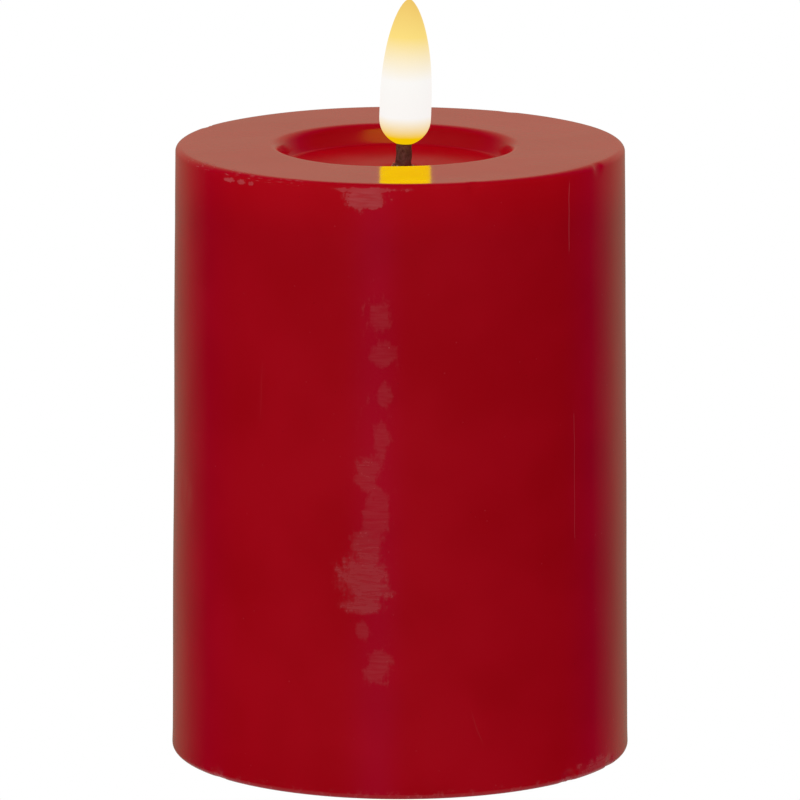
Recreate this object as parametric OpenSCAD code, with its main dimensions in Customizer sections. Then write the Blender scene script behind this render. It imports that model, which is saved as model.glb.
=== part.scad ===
// Flameless LED pillar candle: a hollow wax pillar over a plastic battery base, with a rigid lit
// flame on a wick that stands in a shallow melt pool.
// Millimetres. +Z is up and -Y is the front. The origin is the centre of the underside.

/* [Wax pillar] */
// Height of the flat top above the table
pillar_h = 100.5; // [96:0.5:110]
// Radius of the pillar at its foot
foot_r = 37.5; // [37:0.1:39]
// Radius of the pillar at its top, which the mould's draft makes smaller
top_r = 36.6; // [36:0.1:38]
// Rounding of the top and bottom edges
edge_round = 1.0; // [0.5:0.1:1.5]
// Radius of the pocket that takes the base
pocket_r = 32.7; // [32.7:0.1:33]
// Radius of the hollow above the base
hollow_r = 30.6; // [28:0.1:31]
// Height of the hollow's ceiling
ceiling_z = 86; // [70:0.5:88]

/* [Melt pool] */
// Depth of the pool below the flat top
pool_depth = 3.8; // [3:0.1:4]
// Radius where the flat top starts to round into the pool
pool_r = 20.3; // [18:0.1:22]
// How far the pool's centre stands to the left of the pillar's axis
pool_shift = 0.8; // [0:0.1:1.5]
// Rounding of the pool's lip
lip_round = 1.5; // [1:0.1:1.6]
// Lean of the pool's wall from the vertical, in degrees
pool_wall_lean = 20; // [10:1:25]

/* [Flame and wick] */
// Height of the flame
flame_h = 23.75; // [20:0.25:26]
// Height above the flame's bottom where its round foot ends
flame_foot = 4.25; // [3.5:0.05:5]
// Height above the flame's bottom where it starts to narrow
flame_belly = 6.35; // [5.5:0.05:7]
// Radius of the flame at its widest place
flame_r = 4.2; // [4:0.05:5]
// Length of bare wick between the pool and the flame
wick_show = 3.95; // [3:0.05:5]
// Outer radius of the wick
wick_r = 1.3; // [1.3:0.05:1.5]
// How far the flame's axis stands to the right of the pillar's, at the pool's floor
flame_shift = 0.55; // [0:0.05:1]
// How far the wick's foot stands to the left of the flame's axis
wick_bend = 0.35; // [0:0.05:0.4]
// Lean of the flame to the right, in degrees
lean = 2.0; // [0:0.1:3]

/* [Battery base] */
// Outer radius of the base and its cover
base_r = 32.3; // [32.2:0.1:32.4]
// Thickness of the round walls
wall = 1.5; // [1.4:0.1:1.6]
// Diameter of an AA cell
cell_d = 14.2; // [14.1:0.1:14.3]
// Length of an AA cell with its button
cell_l = 50.3; // [50:0.1:50.3]
// Length that a contact spring takes up with the cells in place
spring_l = 3.6; // [3.4:0.1:3.6]
// How far the door comes down when it is lifted off
door_travel = 60; // [45:1:80]
// How far the cells come down when they are taken out
cell_travel = 36; // [20:1:36]

/* [Power switch] */
// How far the knob slides to each side of its middle position
switch_travel = 2.0; // [1.5:0.1:2]
// How far the switch stands behind the pillar's axis
switch_y = 22; // [21.8:0.1:22.2]

/* [Display] */
// How much of the door's travel is shown, in per cent
door_open = 0; // [0:1:100]

/* [Hidden] */
$fn = 96;

eps = 0.01;          // overlap that keeps cuts clean
play = 0.3;          // clearance between pieces that move past each other
snug = 0.15;         // clearance between pieces that nearly touch

wax_red = [0.62, 0.02, 0.04];
plastic_black = [0.10, 0.10, 0.11];
steel = [0.75, 0.76, 0.78];

// Levels of the base, from the table up
plate_z = 0.8;       // underside of the floor plate, inside the rim that stands on the table
ledge_z = 2.6;       // top of the recess that the door lies in
floor_z = 3.8;       // upper side of the floor plate
bay_roof_z = 17.6;   // underside of the battery bay's roof
roof_t = 1.2;
part_z = 19.0;       // where the cover meets the base
cover_z = 24.0;      // top of the cover

// Battery bay
cell_r = cell_d / 2;
cell_y = cell_r + play / 2;
cell_z = ledge_z + 0.4 + cell_r;
contact_t = 0.4;
button_l = 1.0;
button_r = 2.7;
bay_half_x = (cell_l + spring_l + 2 * contact_t + 2 * snug + 0.1) / 2;
bay_half_y = cell_y + cell_r + play + 0.05;
button_x = bay_half_x - contact_t - snug;
opening_r = 30.2;
door_half_x = bay_half_x + 1.25;
door_half_y = bay_half_y + 1.3;
door_corner_r = 30.9;
door_gap = 0.25;
door_t = ledge_z - plate_z - snug;
door_screw_y = -(door_half_y + 2.8);
tongue_r = 4.4;

// Circuit board and switch
board_z = 8.2;
board_t = 1.2;
board_half_x = 13;
board_depth = 9.4;
post_x = 10.8;
post_r = 1.7;
pin_r = 0.35;
pin_pitch = 2.5;
can_half_x = 4.8;
can_half_y = 2.5;
can_z = 4.6;
can_wall = 0.35;
switch_base_t = 0.9;
knob_half_x = 2.2;
knob_half_y = 1.7;
knob_z = 0.5;
shield_t = 0.4;
stem_half_x = 1.1;
stem_half_y = 0.65;

// Screws
case_screw_at = [[16.5, 22], [-16.5, 22], [14.5, -22.5], [-14.5, -22.5]];
case_boss_r = 2.6;
case_boss_z = 7.8;   // where the base's bosses end and the cover's begin

// Flame, along its own leaning axis from the pool's floor, and the wick that leans over to it
pool_z = pillar_h - pool_depth;
wick_foot_x = flame_shift - wick_bend;
flame_foot_cut = 0.35;  // how much of the flame's round foot is cut off flat
sleeve_wall = 0.35;
sleeve_foot_z = 80.5;
sleeve_into_flame = 1.85;
led_z = wick_show + sleeve_into_flame;
led_r = 1.5;
led_flange_r = 1.9;
led_barrel = 3.8;
lead_r = 0.22;
lead_y = 0.47;
lead_foot = 0.2;
flame_points = 14;

// Wires
wire_r = 0.5;
led_wire_r = 0.42;
solder_z = board_z + board_t + 0.3;
red_route = [
    [27.0, 7.2, 20.6], [25.6, 8.8, 20.7], [22.6, 11.6, 20.6], [18.4, 14.6, 20.5], [14.2, 16.9, 19.2],
    [11.4, 18.2, 16.0], [9.4, 18.6, 12.6], [8.8, 18.6, solder_z]
];
black_route = [
    [27.0, -7.2, 20.6], [25.2, -5.6, 20.7], [20.8, -1.6, 20.7], [15.4, 4.8, 20.6], [11.0, 10.8, 20.6],
    [7.6, 15.4, 20.4], [5.4, 17.8, 17.6], [4.2, 18.4, 13.0], [4.0, 18.4, solder_z]
];
led_positive_route = [
    [-8.2, 18.4, solder_z], [-8.2, 18.4, 13.4], [-7.4, 17.9, 18.0], [-5.2, 14.2, 20.5], [-3.0, 8.0, 20.6],
    [-1.3, 2.6, 21.3], [-0.9, 1.2, 24.4], [-1.0, 1.8, 31.0], [-1.2, 4.2, 41.0], [-1.0, 3.4, 52.0],
    [0.2, -1.8, 62.0], [0.6, -1.4, 71.0], [wick_foot_x, 0.3, 75.6], [wick_foot_x, lead_y, 79.6],
    [wick_foot_x, lead_y, 86.0], [wick_foot_x, lead_y, pool_z - 0.1]
];
led_negative_route = [
    [-6.0, 18.4, solder_z], [-6.0, 18.4, 13.4], [-5.4, 17.9, 18.0], [-3.4, 13.8, 20.5], [-1.4, 7.0, 20.6],
    [0.2, 1.6, 21.3], [0.5, 0.0, 24.4], [0.6, 0.2, 31.0], [0.7, 2.6, 41.0], [0.8, 1.6, 52.0],
    [1.7, -3.6, 62.0], [1.6, -2.9, 71.0], [0.5, -1.0, 75.6], [wick_foot_x, -lead_y, 79.6],
    [wick_foot_x, -lead_y, 86.0], [wick_foot_x, -lead_y, pool_z - 0.1]
];

// Points of an arc about centre c, from angle a0 to angle a1
function arc(c, r, a0, a1, n) = [
    for (i = [0:n]) let (a = a0 + (a1 - a0) * i / n) c + r * [cos(a), sin(a)]
];

// Points of a smooth curve through the points p, with n steps between each pair
function mix_point(a, b, c, d, t) = 0.5 * (2 * b + (c - a) * t + (2 * a - 5 * b + 4 * c - d) * t * t
    + (3 * b - a - 3 * c + d) * t * t * t);
function smooth_route(p, n) = concat(
    [for (i = [0:len(p) - 2]) for (k = [0:n - 1])
        mix_point(p[max(i - 1, 0)], p[i], p[i + 1], p[min(i + 2, len(p) - 1)], k / n)],
    [p[len(p) - 1]]
);

function unit(v) = v / norm(v);

// One ring of the sweep at point i: sides points about the local direction of the route
function ring_points(route, i, r, sides, reference) =
    let (
        along = unit(route[min(i + 1, len(route) - 1)] - route[max(i - 1, 0)]),
        across = unit(cross(along, reference)),
        up = cross(along, across)
    )
    [for (k = [0:sides - 1]) route[i] + r * (cos(360 * k / sides) * across + sin(360 * k / sides) * up)];

// Points and side faces of a round skin along a route. The reference direction is never along the route.
function skin_points(route, r, sides, reference) =
    [for (i = [0:len(route) - 1]) each ring_points(route, i, r, sides, reference)];
function skin_faces(rings, sides) = [
    for (i = [0:rings - 2]) for (k = [0:sides - 1])
        let (a = i * sides + k, b = i * sides + (k + 1) % sides)
        [a, a + sides, b + sides, b]
];

// A solid round wire along a route
module wire(route, r, sides, reference) {
    rings = len(route);
    first_face = [for (k = [0:sides - 1]) k];
    last_face = [for (k = [sides - 1:-1:0]) (rings - 1) * sides + k];
    polyhedron(
        points = skin_points(route, r, sides, reference),
        faces = concat(skin_faces(rings, sides), [first_face], [last_face]),
        convexity = 6
    );
}

// A round tube along a route, with a bore of radius inner_r
module tube(route, r, inner_r, sides, reference) {
    rings = len(route);
    n = rings * sides;
    top = n - sides;
    inner_faces = [for (f = skin_faces(rings, sides)) [for (k = [3:-1:0]) n + f[k]]];
    first_ring = [for (k = [0:sides - 1]) let (b = (k + 1) % sides) [k, b, n + b, n + k]];
    last_ring = [for (f = first_ring) [for (k = [3:-1:0]) top + f[k]]];
    polyhedron(
        points = concat(
            skin_points(route, r, sides, reference),
            skin_points(route, inner_r, sides, reference)
        ),
        faces = concat(skin_faces(rings, sides), inner_faces, first_ring, last_ring),
        convexity = 6
    );
}

// A ring standing on z0
module pipe(outer, inner, z0, z1) {
    translate([0, 0, z0]) difference() {
        cylinder(r = outer, h = z1 - z0);
        translate([0, 0, -1]) cylinder(r = inner, h = z1 - z0 + 2);
    }
}

// A block given by its half sizes in X and Y and its two levels in Z
module block(half_x, half_y, z0, z1) {
    translate([-half_x, -half_y, z0]) cube([2 * half_x, 2 * half_y, z1 - z0]);
}

// Everything that leans with the flame is placed by this
module on_flame_axis() {
    translate([flame_shift, 0, pool_z]) rotate([0, lean, 0]) children();
}

// ---- Wax ----

// Cutter for the melt pool: floor, hollow corner, leaning wall and rounded lip
module pool_cut() {
    corner = 1.2;
    b = pool_wall_lean;
    lip_end = [pool_r - lip_round * cos(b), -lip_round + lip_round * sin(b)];
    corner_end_z = -pool_depth + corner - corner * sin(b);
    corner_end_x = lip_end[0] - tan(b) * (lip_end[1] - corner_end_z);
    corner_c = [corner_end_x - corner * cos(b), -pool_depth + corner];
    translate([-pool_shift, 0, pillar_h]) rotate_extrude() polygon(concat(
        [[0, 1], [0, -pool_depth]],
        arc(corner_c, corner, -90, -b, 5),
        arc([pool_r, -lip_round], lip_round, 180 - b, 90, 6),
        [[pool_r, 1]]
    ));
}

// Cutter for the base's pocket and the hollow above it
module hollow_cut() {
    ceiling_round = 6;
    rotate_extrude() polygon(concat(
        [[0, -1], [pocket_r, -1], [pocket_r, cover_z + 0.2], [hollow_r, cover_z + 0.2]],
        arc([hollow_r - ceiling_round, ceiling_z - ceiling_round], ceiling_round, 0, 90, 6),
        [[0, ceiling_z]]
    ));
}

module wax_shell() {
    color(wax_red) difference() {
        rotate_extrude() polygon(concat(
            [[0, 0]],
            arc([foot_r - edge_round, edge_round], edge_round, -90, 0, 5),
            arc([top_r - edge_round, pillar_h - edge_round], edge_round, 0, 90, 5),
            [[0, pillar_h]]
        ));
        hollow_cut();
        pool_cut();
        translate([wick_foot_x, 0, ceiling_z - 1]) cylinder(r = 3.1, h = 9);
        translate([wick_foot_x, 0, ceiling_z]) cylinder(r = wick_r + 0.1, h = pillar_h - ceiling_z);
    }
}

module glue_beads() {
    bead_angle = 26;
    color([0.90, 0.86, 0.74]) for (a = [0:60:300]) rotate([0, 0, a - bead_angle / 2])
        rotate_extrude(angle = bead_angle)
            translate([base_r + 0.02, 0.6]) square([pocket_r - base_r - 0.04, 5.4]);
}

// ---- Flame and wick ----

// Half width of the flame at height z above its bottom
function flame_half(z) = z < flame_foot
    ? flame_r * pow(max(1 - pow((flame_foot - z) / (flame_foot + flame_foot_cut), 2.2), 0), 0.6)
    : z < flame_belly ? flame_r
    : flame_r * pow(max(1 - pow((z - flame_belly) / (flame_h - flame_belly), 2.15), 0), 0.62);

// Heights bunch up at both ends, where the flame curves most
function flame_level(i) = flame_h * (1 - cos(180 * i / (2 * flame_points))) / 2;

module flame_diffuser() {
    chamber_top = led_z + 1 + led_barrel + led_r + 0.7;
    color([1.0, 0.93, 0.72]) on_flame_axis() difference() {
        translate([0, 0, wick_show]) rotate_extrude() polygon(concat(
            [[0, 0], [flame_half(0), 0]],
            [for (i = [1:2 * flame_points - 1]) [flame_half(flame_level(i)), flame_level(i)]],
            [[0, flame_h]]
        ));
        translate([0, 0, wick_show - 1]) cylinder(r = wick_r + 0.05, h = sleeve_into_flame + 1);
        translate([0, 0, led_z - eps]) cylinder(r = led_flange_r + 0.15, h = chamber_top - led_z);
    }
}

// Point on the flame's axis at a distance from the pool's floor
function on_axis(s) = [flame_shift + s * sin(lean), 0, pool_z + s * cos(lean)];

// The wick is upright below the pool's floor, leans over to the flame, then follows its axis
module wick_sleeve() {
    route = [[wick_foot_x, 0, sleeve_foot_z], [wick_foot_x, 0, pool_z], on_axis(wick_show), on_axis(led_z)];
    color([0.20, 0.12, 0.08]) tube(route, wick_r, wick_r - sleeve_wall, 24, [0, 1, 0]);
}

module flame_led() {
    color([1.0, 0.86, 0.45]) on_flame_axis() translate([0, 0, led_z]) rotate_extrude() polygon(concat(
        [[0, 0], [led_flange_r, 0], [led_flange_r, 1], [led_r, 1]],
        arc([0, 1 + led_barrel], led_r, 0, 90, 6)
    ));
    color(steel) for (side = [-1, 1]) on_flame_axis() translate([0, side * lead_y, lead_foot])
        cylinder(r = lead_r, h = led_z + 0.5 - lead_foot);
}

module stem_holder() {
    flange_t = 1.6;
    color(plastic_black) translate([wick_foot_x, 0, 0]) difference() {
        union() {
            translate([0, 0, ceiling_z - 4.5]) cylinder(r = 3.0, h = 12.3);
            translate([0, 0, ceiling_z - flange_t]) cylinder(r = 7.5, h = flange_t);
        }
        translate([0, 0, ceiling_z - 6]) cylinder(r = wick_r + 0.05, h = 16);
        for (a = [45:90:315]) rotate([0, 0, a]) translate([5.3, 0, ceiling_z - flange_t - 1])
            cylinder(r = 0.8, h = flange_t + 2);
    }
}

// ---- Base ----

// Outline of the door, grown by a gap for the recess that it lies in
module door_outline(gap) {
    intersection() {
        square([2 * (door_half_x + gap), 2 * (door_half_y + gap)], center = true);
        circle(r = door_corner_r + gap);
    }
    translate([0, door_screw_y]) circle(r = tongue_r + gap);
    translate([-(tongue_r + gap), door_screw_y]) square([2 * (tongue_r + gap), 6]);
}

// Outline of the battery bay, cut at its corners by a circle
module bay_outline(half_x, half_y, corner_r) {
    intersection() {
        square([2 * half_x, 2 * half_y], center = true);
        circle(r = corner_r);
    }
}

module at_case_screws() {
    for (p = case_screw_at) translate([p[0], p[1], 0]) children();
}

module at_board_screws() {
    for (side = [-1, 1]) translate([side * post_x, switch_y, 0]) children();
}

// Slots in the bay's roof for the solder tails of the two end contacts
module tail_slots() {
    for (side = [-1, 1]) translate([bay_half_x - 0.65, side * cell_y - 1.5, bay_roof_z - 1])
        cube([0.8, 3.0, roof_t + 2]);
}

module base_housing() {
    dish_z = 1.8;
    color(plastic_black) difference() {
        union() {
            pipe(base_r, base_r - wall, 0, part_z);
            translate([0, 0, plate_z]) cylinder(r = base_r - wall / 2, h = floor_z - plate_z);
            translate([0, 0, floor_z - eps]) linear_extrude(bay_roof_z + roof_t - floor_z)
                bay_outline(bay_half_x + 1.2, bay_half_y + 1.2, base_r - eps);
            at_case_screws() translate([0, 0, floor_z - eps])
                cylinder(r = case_boss_r, h = case_boss_z - floor_z);
            at_board_screws() translate([0, 0, floor_z - eps]) cylinder(r = post_r, h = board_z - floor_z);
            translate([0, door_screw_y, floor_z - eps]) cylinder(r = 2.8, h = 6.7);
        }
        translate([0, 0, -1]) linear_extrude(ledge_z + 1) door_outline(door_gap);
        translate([0, 0, ledge_z - eps]) linear_extrude(floor_z - ledge_z + 2 * eps)
            bay_outline(bay_half_x - 0.25, bay_half_y - 0.1, opening_r);
        translate([0, 0, floor_z]) linear_extrude(bay_roof_z - floor_z)
            bay_outline(bay_half_x, bay_half_y, base_r - 1);
        tail_slots();
        at_case_screws() {
            cylinder(r = 1.25, h = case_boss_z + 1);
            cylinder(r = 2.4, h = 3.0);
        }
        at_board_screws() translate([0, 0, 4.6]) cylinder(r = 0.97, h = board_z);
        translate([0, door_screw_y, 0]) cylinder(r = 1.1, h = 10);
        translate([0, switch_y, 0]) {
            block(knob_half_x + switch_travel + play, knob_half_y + play, 0, floor_z + 1);
            block(knob_half_x + switch_travel + 2, knob_half_y + 1.5, 0, dish_z);
        }
    }
}

module core_cover() {
    spigot_foot_z = 17.2;
    plate_t = 1.6;
    color(plastic_black) difference() {
        union() {
            pipe(base_r, base_r - wall, part_z + 0.1, cover_z);
            translate([0, 0, cover_z - plate_t]) cylinder(r = base_r - wall / 2, h = plate_t);
            difference() {
                pipe(base_r - wall - 0.2, base_r - 2 * wall - 0.2, spigot_foot_z, cover_z - plate_t + eps);
                block(base_r, bay_half_y + 2, 0, cover_z - plate_t - 2);
            }
            at_case_screws() translate([0, 0, case_boss_z + 0.1])
                cylinder(r = case_boss_r, h = cover_z - plate_t - case_boss_z);
            translate([0, 0, cover_z - eps]) cylinder(r = 4.4, h = 2.4);
            for (a = [30:60:330]) rotate([0, 0, a]) translate([4, -0.6, cover_z - eps])
                cube([24, 1.2, 1.4]);
        }
        at_case_screws() translate([0, 0, case_boss_z - 1]) cylinder(r = 1.12, h = 11);
        translate([0, 0, cover_z - plate_t - 1]) cylinder(r = 2.9, h = 8);
    }
}

module case_screws() {
    color(steel) at_case_screws() difference() {
        union() {
            translate([0, 0, 1.3]) cylinder(r = 2.1, h = 1.7);
            translate([0, 0, 2.5]) cylinder(r = 1.1, h = 14.5);
        }
        for (a = [0, 90]) rotate([0, 0, a]) block(1.2, 0.25, 1, 2.1);
    }
}

// ---- Door and cells ----

module battery_door() {
    color(plastic_black) translate([0, 0, -door_travel * door_open / 100]) {
        difference() {
            translate([0, 0, plate_z]) linear_extrude(door_t) door_outline(0);
            translate([door_half_x, 0, 0]) cylinder(r = 3.2, h = 4);
            translate([0, door_screw_y, 0]) cylinder(r = 1.2, h = 4);
            translate([0, door_screw_y, 0]) cylinder(r = 2.3, h = plate_z + 1.05);
            for (x = [-12:3:12]) translate([x, 0, 0]) block(0.5, 8, 0, plate_z + 0.4);
        }
        for (x = [-15, 15]) translate([x, bay_half_y - 0.9, 0]) block(3, 0.5, plate_z + door_t - eps, 5.2);
    }
}

module door_screw() {
    color(steel) translate([0, door_screw_y, -door_travel * door_open / 100]) difference() {
        union() {
            translate([0, 0, 0.9]) cylinder(r = 2.0, h = 0.95);
            translate([0, 0, 1.5]) cylinder(r = 1.0, h = 7.5);
        }
        for (a = [0, 90]) rotate([0, 0, a]) block(1.1, 0.22, 0.5, 1.4);
    }
}

// An AA cell with its button towards +X, and its flat end play short of the spring
module cell() {
    edge = 0.5;
    can_l = cell_l - button_l;
    translate([button_x - cell_l, 0, 0]) rotate([0, 90, 0]) rotate_extrude() polygon(concat(
        [[0, 0]],
        arc([cell_r - edge, edge], edge, -90, 0, 3),
        arc([cell_r - edge, can_l - edge], edge, 0, 90, 3),
        [[button_r, can_l], [button_r, cell_l - 0.2], [button_r - 0.2, cell_l], [0, cell_l]]
    ));
}

module battery_cell_a() {
    color([0.13, 0.33, 0.27]) translate([0, cell_y, cell_z - cell_travel * door_open / 100]) cell();
}

module battery_cell_b() {
    color([0.13, 0.33, 0.27]) translate([0, -cell_y, cell_z - cell_travel * door_open / 100])
        rotate([0, 0, 180]) cell();
}

// A flat contact that lies against the bay's end wall at +X
module contact_plate(half_y) {
    translate([bay_half_x - contact_t, 0, 0]) difference() {
        translate([0, -half_y, cell_z - 5.2]) cube([contact_t - 0.02, 2 * half_y, 10.4]);
        for (side = [-1, 1]) translate([-1, side * half_y, cell_z - 5.2]) rotate([0, 90, 0])
            cylinder(r = 1.2, h = 2);
    }
}

module bridge_contact() {
    color(steel) rotate([0, 0, 180]) contact_plate(cell_y + 5.2);
}

// An end contact with a solder tail through the bay's roof
module tailed_contact() {
    contact_plate(5.2);
    translate([bay_half_x - contact_t, -1.1, cell_z + 5]) cube([contact_t - 0.02, 2.2, 20.2 - cell_z - 5]);
}

module positive_contact() {
    color(steel) translate([0, cell_y, 0]) tailed_contact();
}

module negative_contact() {
    color(steel) translate([0, -cell_y, 0]) tailed_contact();
}

// A conical spring on the +X contact, narrow towards the cell
module cell_spring() {
    coil_r = 0.32;
    turns = 3.5;
    steps = 14 * turns;
    foot_x = bay_half_x - contact_t - coil_r;
    length = spring_l - 2 * coil_r;
    route = [for (i = [0:steps]) let (a = 360 * turns * i / steps, r = 4.3 - 1.6 * i / steps)
        [foot_x - length * i / steps, r * cos(a), r * sin(a)]];
    wire(route, coil_r, 6, [1, 0, 0]);
}

module contact_spring_a() {
    color(steel) translate([0, cell_y, cell_z]) rotate([0, 0, 180]) cell_spring();
}

module contact_spring_b() {
    color(steel) translate([0, -cell_y, cell_z]) cell_spring();
}

// ---- Circuit board ----

module circuit_board() {
    color([0.07, 0.33, 0.16]) difference() {
        translate([0, switch_y, 0]) block(board_half_x, board_depth / 2, board_z, board_z + board_t);
        at_board_screws() translate([0, 0, board_z - 1]) cylinder(r = 1.15, h = 4);
        for (i = [-1:1]) translate([i * pin_pitch, switch_y, board_z - 1]) cylinder(r = pin_r + 0.1, h = 4);
    }
}

module board_screws() {
    head_z = board_z + board_t;
    color(steel) at_board_screws() difference() {
        union() {
            translate([0, 0, head_z]) cylinder(r = 1.8, h = 1.3);
            translate([0, 0, 5]) cylinder(r = 0.95, h = head_z - 5 + eps);
        }
        for (a = [0, 90]) rotate([0, 0, a]) block(1.0, 0.2, head_z + 0.6, head_z + 2);
    }
}

// Parts on the upper side of the board are drawn from its surface
module on_board(x, y) {
    translate([x, switch_y + y, board_z + board_t]) children();
}

module timer_chip() {
    color([0.08, 0.08, 0.08]) on_board(-1.2, 2.4) block(2.45, 1.2, 0.1, 1.5);
    color(steel) for (i = [-1.5:1.5]) for (side = [-1, 1]) on_board(-1.2 + i * 1.27, 2.4 + side * 1.45)
        block(0.2, 0.35, 0, 0.6);
}

module transistor() {
    color([0.08, 0.08, 0.08]) on_board(4.4, 2.6) block(1.45, 0.65, 0.1, 1.1);
    color(steel) for (i = [-1:1]) on_board(4.4 + i * 0.95, 2.6 - (i == 0 ? -0.9 : 0.9))
        block(0.2, 0.35, 0, 0.4);
}

module resistors() {
    for (x = [-3.6, 0, 6.8]) {
        color([0.10, 0.10, 0.12]) on_board(x, -2.4) block(0.7, 0.62, 0, 0.5);
        color(steel) for (side = [-1, 1]) on_board(x + side * 0.85, -2.4) block(0.16, 0.62, 0, 0.5);
    }
}

module capacitor() {
    color([0.12, 0.16, 0.30]) on_board(-6.4, 1.9) cylinder(r = 2.0, h = 6.5);
}

module crystal() {
    color(steel) on_board(6.9, 1.9) cylinder(r = 0.95, h = 5.6);
}

// ---- Power switch ----

module switch_base() {
    top = board_z - snug;
    color([0.55, 0.38, 0.20]) translate([0, switch_y, 0])
        block(can_half_x, can_half_y, top - switch_base_t, top);
    color(steel) for (i = [-1:1]) translate([i * pin_pitch, switch_y, top - eps])
        cylinder(r = pin_r, h = board_t + 1);
}

module switch_frame() {
    top = board_z - snug - switch_base_t - 0.02;
    color(steel) translate([0, switch_y, 0]) difference() {
        block(can_half_x, can_half_y, can_z, top);
        block(can_half_x - can_wall, can_half_y - can_wall, can_z + can_wall, top + 1);
        block(stem_half_x + switch_travel + play, stem_half_y + play, can_z - 1, can_z + 1);
    }
}

module switch_slider() {
    color([0.92, 0.92, 0.90]) translate([0, switch_y, 0]) {
        block(2.1, 1.8, can_z + can_wall + 0.25, 6.9);
        block(stem_half_x, stem_half_y, 2.2, can_z + can_wall + 0.5);
    }
}

module switch_knob() {
    shield_half_x = knob_half_x + 2 * switch_travel + 0.4;
    color(plastic_black) translate([0, switch_y, 0]) difference() {
        union() {
            block(knob_half_x, knob_half_y, knob_z, floor_z + 0.2);
            block(shield_half_x, knob_half_y + 0.6, floor_z + snug, floor_z + snug + shield_t);
        }
        block(stem_half_x + 0.02, stem_half_y + 0.02, 2.1, floor_z + 2);
        for (x = [-1.2:1.2:1.2]) translate([x, 0, 0]) block(0.25, 2, 0, knob_z + 0.4);
    }
}

// ---- Wires ----

module battery_wire_red() {
    color([0.75, 0.05, 0.05]) wire(smooth_route(red_route, 3), wire_r, 8, [0.3, 1, 0.1]);
}

module battery_wire_black() {
    color([0.06, 0.06, 0.06]) wire(smooth_route(black_route, 3), wire_r, 8, [1, 1, 0.1]);
}

module led_wire_positive() {
    color([0.85, 0.62, 0.12]) wire(smooth_route(led_positive_route, 3), led_wire_r, 8, [1, 0, 0]);
}

module led_wire_negative() {
    color([0.88, 0.88, 0.86]) wire(smooth_route(led_negative_route, 3), led_wire_r, 8, [1, 0, 0]);
}

wax_shell();
flame_diffuser();
wick_sleeve();
flame_led();
stem_holder();
base_housing();
core_cover();
glue_beads();
case_screws();
battery_door();
door_screw();
battery_cell_a();
battery_cell_b();
bridge_contact();
positive_contact();
negative_contact();
contact_spring_a();
contact_spring_b();
circuit_board();
board_screws();
timer_chip();
transistor();
resistors();
capacitor();
crystal();
switch_base();
switch_frame();
switch_slider();
switch_knob();
battery_wire_red();
battery_wire_black();
led_wire_positive();
led_wire_negative();
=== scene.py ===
"""Looks for the flameless LED pillar candle. Metres, in the CAD frame: +Z up, -Y the front."""
import math

import bpy
import bmesh
import numpy as np
from mathutils import Matrix, Vector


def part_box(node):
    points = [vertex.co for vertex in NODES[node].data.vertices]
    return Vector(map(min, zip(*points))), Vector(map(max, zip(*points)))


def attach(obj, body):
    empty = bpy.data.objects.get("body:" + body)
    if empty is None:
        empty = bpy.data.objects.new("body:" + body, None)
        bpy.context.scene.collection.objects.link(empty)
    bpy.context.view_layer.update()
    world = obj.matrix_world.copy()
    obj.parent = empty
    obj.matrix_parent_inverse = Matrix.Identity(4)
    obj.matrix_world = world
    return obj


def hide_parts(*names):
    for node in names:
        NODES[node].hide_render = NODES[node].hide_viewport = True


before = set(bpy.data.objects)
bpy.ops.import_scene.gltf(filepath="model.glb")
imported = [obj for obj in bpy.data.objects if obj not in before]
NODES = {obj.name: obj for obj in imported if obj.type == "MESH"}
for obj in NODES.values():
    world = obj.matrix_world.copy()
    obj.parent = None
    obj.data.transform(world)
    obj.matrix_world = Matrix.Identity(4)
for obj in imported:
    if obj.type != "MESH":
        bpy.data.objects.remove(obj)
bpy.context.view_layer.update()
scene = bpy.context.scene
MM = 0.001
SEED = 306


# ---------------------------------------------------------------- camera
def make_camera():
    data = bpy.data.cameras.new("camera")
    data.lens = 413.93
    data.sensor_width = 36.0
    data.clip_start = 0.05
    data.clip_end = 20.0
    data.dof.use_dof = False
    cam = bpy.data.objects.new("camera", data)
    scene.collection.objects.link(cam)
    cam.location = (0.0, -1.4724, 0.3624)
    cam.rotation_euler = (math.radians(78.32), 0.0, 0.0)
    scene.camera = cam


make_camera()
scene.view_settings.view_transform = "Standard"


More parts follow.
